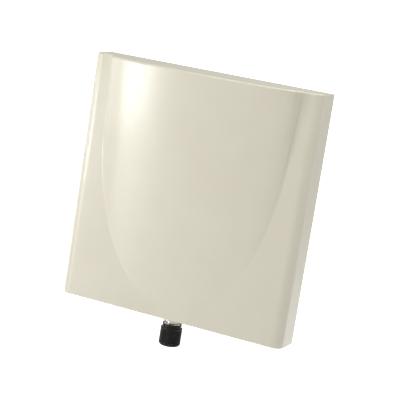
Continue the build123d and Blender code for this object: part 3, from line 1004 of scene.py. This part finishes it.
    def build(self, bm, spacing, turn, upper, band, lower):
        """Adds the skin's grid of faces and returns its rows of vertices from the top down."""
        columns = self.all_columns(spacing, turn)
        edge_steps = 5 if self.front_edge else 0
        grid = []
        for column in columns:
            radius = self.edge_radius(column)
            line = []
            for k in range(edge_steps):
                angle = math.radians(90) * k / edge_steps
                drop = self.top_drop + radius * (1 - math.cos(angle))
                line.append(self.point(column, drop, radius * (1 - math.sin(angle))))
            line += [self.point(column, drop) for drop in self.drops(column, upper, band, lower)]
            for k in reversed(range(edge_steps)):
                angle = math.radians(90) * k / edge_steps
                drop = self.bottom_drop - radius * (1 - math.cos(angle))
                line.append(self.point(column, drop, radius * (1 - math.sin(angle))))
            grid.append([bm.verts.new(p) for p in line])
        for left, right in zip(grid, grid[1:]):
            for k in range(len(left) - 1):
                bm.faces.new((left[k], right[k], right[k + 1], left[k + 1]))
        return [[line[k] for line in grid] for k in range(len(grid[0]))]


def hole_ring(bm, z, segments=48):
    """The jack's hole at a level, from its rear point round the left side and back."""
    points = []
    for k in range(segments):
        angle = 2 * math.pi * k / segments
        x = JACK_X - JACK_HOLE_RADIUS * math.sin(angle)
        y = JACK_Y + JACK_HOLE_RADIUS * math.cos(angle)
        points.append(bm.verts.new((x, y, z)))
    return points


def close_level(bm, row, ring_points=None):
    """Fills a level wall between a row of the skin and the straight line that joins its ends."""
    if not ring_points:
        bm.faces.new(row)
        return
    middle = len(row) // 2
    half = len(ring_points) // 2
    rear = bm.verts.new(((row[0].co + row[-1].co) / 2))
    left_side = ring_points[:half + 1]
    right_side = [ring_points[0]] + ring_points[:half - 1:-1]
    bm.faces.new(row[:middle + 1] + left_side[::-1] + [rear])
    bm.faces.new(row[middle:] + [rear] + right_side)


def add_radome():
    """The two skins, the lower wall with the jack's hole, the open rear and the screw posts."""
    bm = bmesh.new()
    outer = Shell(0, 0, CORNER_RADIUS, 0, (FRONT_EDGE_RADIUS, SIDE_EDGE_RADIUS))
    inner = Shell(SIDE_WALL, FRONT_WALL, CAVITY_RADIUS, -LEDGE_DEPTH, (0, 0))
    outside = outer.build(bm, 2.2, math.radians(3.5), 22, 6, 22)
    inside = inner.build(bm, 4.0, math.radians(8), 10, 2, 10)
    outer_hole = hole_ring(bm, outside[-1][0].co.z)
    inner_hole = hole_ring(bm, inside[-1][0].co.z)
    close_level(bm, outside[0])
    close_level(bm, inside[0])
    close_level(bm, outside[-1], outer_hole)
    close_level(bm, inside[-1], inner_hole)
    for k in range(len(outer_hole)):
        n = (k + 1) % len(outer_hole)
        bm.faces.new((outer_hole[k], outer_hole[n], inner_hole[n], inner_hole[k]))
    close_rear(bm, outside, inside)
    bmesh.ops.recalc_face_normals(bm, faces=bm.faces)
    round_rear(bm)
    bm = combine(bm, radome_posts(), "UNION")
    bm = cut(bm, post_bores())
    add_piece("radome_shell", bm, "radome", 32)


def close_rear(bm, outside, inside):
    """The rim, the step that the plate lies in, and the ledge under its seal."""
    half = HALF_WIDTH - RIM_WALL
    top, bottom = TOP - RIM_WALL, TOP - TOTAL + RIM_WALL
    corners = [(-half, bottom), (-half, top), (half, top), (half, bottom)]
    rim = [bm.verts.new((x, 0, z)) for x, z in corners]
    step = [bm.verts.new((x, -LEDGE_DEPTH, z)) for x, z in corners]
    for k in range(4):
        n = (k + 1) % 4
        bm.faces.new((rim[k], rim[n], step[n], step[k]))
    for rows, loop in ((outside, rim), (inside, step)):
        left, right = [row[0] for row in rows], [row[-1] for row in rows]
        bm.faces.new(left + [loop[0], loop[1]])
        bm.faces.new([left[0], right[0], loop[2], loop[1]])
        bm.faces.new(right[::-1] + [loop[2], loop[3]])
        low = [left[-1], rear_middle(bm, left[-1], right[-1]), right[-1]]
        bm.faces.new(low + [loop[3], loop[0]])


def rear_middle(bm, left, right):
    """The vertex half way along a lower rear edge."""
    middle = (left.co + right.co) / 2
    return next(v for v in bm.verts if (v.co - middle).length < 1e-6)


def round_rear(bm):
    """Breaks the rear rim's outer and inner edges."""
    rim = []
    for edge in bm.edges:
        if len(edge.link_faces) != 2 or any(abs(v.co.y) > 1e-6 for v in edge.verts):
            continue
        if edge.calc_face_angle(0) > math.radians(60):
            rim.append(edge)
    bmesh.ops.bevel(bm, geom=rim, offset=REAR_EDGE_RADIUS, segments=3, profile=0.5, affect="EDGES")


def post_places():
    """X and Z of each cover screw, whose post is round it."""
    return [((low.x + high.x) / 2, (low.z + high.z) / 2) for low, high in solids("cover_screws")]


def radome_posts():
    """Screw posts, from inside the front wall back to the plate."""
    outer = Shell(0, 0, CORNER_RADIUS, 0, (0, 0))
    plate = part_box("back_plate")[0].y / MM
    posts = []
    for x, z in post_places():
        if abs(x) < HALF_WIDTH - CORNER_RADIUS:
            end = POST_COVER - outer.front(x, TOP - z)
        else:
            end = CORNER_POST_COVER - DEPTH
        outline = [
            (0, plate), (POST_NOSE_RADIUS - 0.2, plate), (POST_NOSE_RADIUS, plate - 0.2),
            (POST_NOSE_RADIUS, -LEDGE_DEPTH), (POST_RADIUS, -LEDGE_DEPTH), (POST_RADIUS, end), (0, end),
        ]
        posts.append(moved(turned(outline, 32), towards_back(x, 0, z)))
    return joined(posts)


def post_bores():
    """Cutters for the screw holes in the posts."""
    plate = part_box("back_plate")[0].y / MM
    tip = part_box("cover_screws")[0].y / MM
    outline = [(0, plate + 1), (POST_BORE_RADIUS, plate + 1), (POST_BORE_RADIUS, tip), (0, tip)]
    return joined([moved(turned(outline, 24), towards_back(x, 0, z)) for x, z in post_places()])


# ---------------------------------------------------------------- everything together

add_camera()
add_world()
add_floor()
for lamp_name, lamp_values in LAMPS.items():
    add_lamp(lamp_name, *lamp_values)

for node_name, node_object in frame["nodes"].items():
    node_object.data.materials.clear()
    node_object.data.materials.append(MATERIALS[slot_of(node_name)])

add_radome()
add_back_plate()
add_studs()
add_washers()
add_screws("cover_pan_screws", "cover_screws", SCREW_HEAD_RADIUS, SCREW_HEAD_HEIGHT)
add_cap()
add_jack()
add_contact()

scene.view_settings.view_transform = "Standard"
